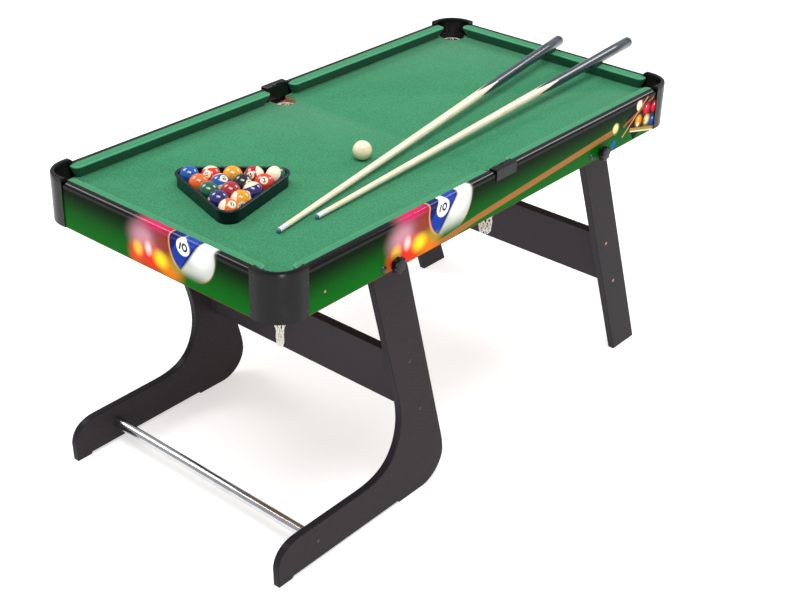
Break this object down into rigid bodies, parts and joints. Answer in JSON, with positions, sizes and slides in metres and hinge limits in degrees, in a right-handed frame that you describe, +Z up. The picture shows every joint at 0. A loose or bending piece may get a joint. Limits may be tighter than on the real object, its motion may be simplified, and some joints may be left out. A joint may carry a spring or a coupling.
{
  "type": "mini pool table",
  "caption": "Folding mini pool table with swinging leg frames, netted pockets, star knobs, numbered balls, a triangular rack and wooden cues.",
  "frame": {"origin": "on the floor, under the middle of the whole set's bounding box; the table's own middle is 61 mm towards -X because the cue butts reach past the +X end", "axes": "+X along the table, away from the curved leg frame; +Y across it, away from the side with the cue butts nearest; +Z up"},
  "size_m": [1.4986, 0.7326, 0.7546],
  "materials": {
    "printed_apron": "glossy printed film over fibreboard",
    "bed_board": "bare fibreboard",
    "batten": "bare fibreboard",
    "bed_cloth": "matt green playing cloth",
    "cushion_cloth": "matt green playing cloth over rubber",
    "black_plastic": "satin moulded plastic",
    "net_cord": "knotted white string",
    "leg_laminate": "satin charcoal laminate over fibreboard",
    "chrome_tube": "polished",
    "blackened_steel": "dark plated",
    "knob_plastic": "satin moulded plastic",
    "rack_plastic": "satin moulded plastic",
    "ball_yellow": "polished resin",
    "ball_blue": "polished resin",
    "ball_red": "polished resin",
    "ball_purple": "polished resin",
    "ball_orange": "polished resin",
    "ball_green": "polished resin",
    "ball_maroon": "polished resin",
    "ball_black": "polished resin",
    "ball_cream": "polished resin",
    "cue_wood": "lacquered"
  },
  "bodies": {
    "table_top": {"apron_near": "printed_apron", "apron_far": "printed_apron", "apron_left": "printed_apron", "apron_right": "printed_apron", "bed_board": "bed_board", "bed_cloth": "bed_cloth", "bed_batten_left": "batten", "bed_batten_right": "batten", "cushion_left_near": "cushion_cloth", "cushion_left_far": "cushion_cloth", "cushion_right_near": "cushion_cloth", "cushion_right_far": "cushion_cloth", "cushion_end_left": "cushion_cloth", "cushion_end_right": "cushion_cloth", "corner_cap_left_near": "black_plastic", "corner_cap_left_far": "black_plastic", "corner_cap_right_near": "black_plastic", "corner_cap_right_far": "black_plastic", "middle_cap_near": "black_plastic", "middle_cap_far": "black_plastic", "net_corner_left_near": "net_cord", "net_corner_left_far": "net_cord", "net_corner_right_near": "net_cord", "net_corner_right_far": "net_cord", "net_middle_near": "net_cord", "net_middle_far": "net_cord", "pivot_bolt_j_near": "blackened_steel", "pivot_bolt_j_far": "blackened_steel", "pivot_bolt_straight_near": "blackened_steel", "pivot_bolt_straight_far": "blackened_steel"},
    "j_frame": {"j_leg_near": "leg_laminate", "j_leg_far": "leg_laminate", "j_cross_panel": "leg_laminate", "foot_bar": "chrome_tube"},
    "straight_frame": {"straight_leg_near": "leg_laminate", "straight_leg_far": "leg_laminate", "straight_cross_panel": "leg_laminate"},
    "knob_j_near_body": {"knob_j_near": "knob_plastic"},
    "knob_j_far_body": {"knob_j_far": "knob_plastic"},
    "knob_straight_near_body": {"knob_straight_near": "knob_plastic"},
    "knob_straight_far_body": {"knob_straight_far": "knob_plastic"},
    "rack_body": {"rack": "rack_plastic"},
    "cue_1_body": {"cue_1": "cue_wood"},
    "cue_2_body": {"cue_2": "cue_wood"},
    "ball_01_body": {"ball_01": "ball_yellow"},
    "ball_02_body": {"ball_02": "ball_blue"},
    "ball_03_body": {"ball_03": "ball_red"},
    "ball_04_body": {"ball_04": "ball_purple"},
    "ball_05_body": {"ball_05": "ball_orange"},
    "ball_06_body": {"ball_06": "ball_green"},
    "ball_07_body": {"ball_07": "ball_maroon"},
    "ball_08_body": {"ball_08": "ball_black"},
    "ball_09_body": {"ball_09": "ball_yellow"},
    "ball_10_body": {"ball_10": "ball_blue"},
    "ball_11_body": {"ball_11": "ball_red"},
    "ball_12_body": {"ball_12": "ball_purple"},
    "ball_13_body": {"ball_13": "ball_orange"},
    "ball_14_body": {"ball_14": "ball_green"},
    "ball_15_body": {"ball_15": "ball_maroon"},
    "cue_ball_body": {"cue_ball": "ball_cream"}
  },
  "joints": [
    {"name": "fold_j_frame", "type": "hinge", "parent": "table_top", "child": "j_frame", "pos_m": [-0.457, 0, 0.634], "axis": [0, 1, 0], "range_deg": [0, 90]},
    {"name": "fold_straight_frame", "type": "hinge", "parent": "table_top", "child": "straight_frame", "pos_m": [0.278, 0, 0.634], "axis": [0, 1, 0], "range_deg": [0, 70]},
    {"name": "turn_knob_j_near", "type": "hinge", "parent": "table_top", "child": "knob_j_near_body", "pos_m": [-0.424, -0.348, 0.634], "axis": [0, 1, 0], "continuous": true},
    {"name": "turn_knob_j_far", "type": "hinge", "parent": "table_top", "child": "knob_j_far_body", "pos_m": [-0.424, 0.348, 0.634], "axis": [0, 1, 0], "continuous": true},
    {"name": "turn_knob_straight_near", "type": "hinge", "parent": "table_top", "child": "knob_straight_near_body", "pos_m": [0.315, -0.348, 0.634], "axis": [0, 1, 0], "continuous": true},
    {"name": "turn_knob_straight_far", "type": "hinge", "parent": "table_top", "child": "knob_straight_far_body", "pos_m": [0.315, 0.348, 0.634], "axis": [0, 1, 0], "continuous": true},
    {"name": "lift_cue_1", "type": "slide", "parent": "table_top", "child": "cue_1_body", "axis": [0, 0, 1], "range_m": [0, 0.25]},
    {"name": "lift_cue_2", "type": "slide", "parent": "table_top", "child": "cue_2_body", "axis": [0, 0, 1], "range_m": [0, 0.25]},
    {"name": "lift_rack", "type": "slide", "parent": "table_top", "child": "rack_body", "axis": [0, 0, 1], "range_m": [0, 0.25]},
    {"name": "raise_ball_01", "type": "slide", "parent": "table_top", "child": "ball_01_body", "axis": [0, 0, 1], "range_m": [0, 0.2]},
    {"name": "raise_ball_02", "type": "slide", "parent": "table_top", "child": "ball_02_body", "axis": [0, 0, 1], "range_m": [0, 0.2]},
    {"name": "raise_ball_03", "type": "slide", "parent": "table_top", "child": "ball_03_body", "axis": [0, 0, 1], "range_m": [0, 0.2]},
    {"name": "raise_ball_04", "type": "slide", "parent": "table_top", "child": "ball_04_body", "axis": [0, 0, 1], "range_m": [0, 0.2]},
    {"name": "raise_ball_05", "type": "slide", "parent": "table_top", "child": "ball_05_body", "axis": [0, 0, 1], "range_m": [0, 0.2]},
    {"name": "raise_ball_06", "type": "slide", "parent": "table_top", "child": "ball_06_body", "axis": [0, 0, 1], "range_m": [0, 0.2]},
    {"name": "raise_ball_07", "type": "slide", "parent": "table_top", "child": "ball_07_body", "axis": [0, 0, 1], "range_m": [0, 0.2]},
    {"name": "raise_ball_08", "type": "slide", "parent": "table_top", "child": "ball_08_body", "axis": [0, 0, 1], "range_m": [0, 0.2]},
    {"name": "raise_ball_09", "type": "slide", "parent": "table_top", "child": "ball_09_body", "axis": [0, 0, 1], "range_m": [0, 0.2]},
    {"name": "raise_ball_10", "type": "slide", "parent": "table_top", "child": "ball_10_body", "axis": [0, 0, 1], "range_m": [0, 0.2]},
    {"name": "raise_ball_11", "type": "slide", "parent": "table_top", "child": "ball_11_body", "axis": [0, 0, 1], "range_m": [0, 0.2]},
    {"name": "raise_ball_12", "type": "slide", "parent": "table_top", "child": "ball_12_body", "axis": [0, 0, 1], "range_m": [0, 0.2]},
    {"name": "raise_ball_13", "type": "slide", "parent": "table_top", "child": "ball_13_body", "axis": [0, 0, 1], "range_m": [0, 0.2]},
    {"name": "raise_ball_14", "type": "slide", "parent": "table_top", "child": "ball_14_body", "axis": [0, 0, 1], "range_m": [0, 0.2]},
    {"name": "raise_ball_15", "type": "slide", "parent": "table_top", "child": "ball_15_body", "axis": [0, 0, 1], "range_m": [0, 0.2]},
    {"name": "raise_cue_ball", "type": "slide", "parent": "table_top", "child": "cue_ball_body", "axis": [0, 0, 1], "range_m": [0, 0.2]}
  ]
}
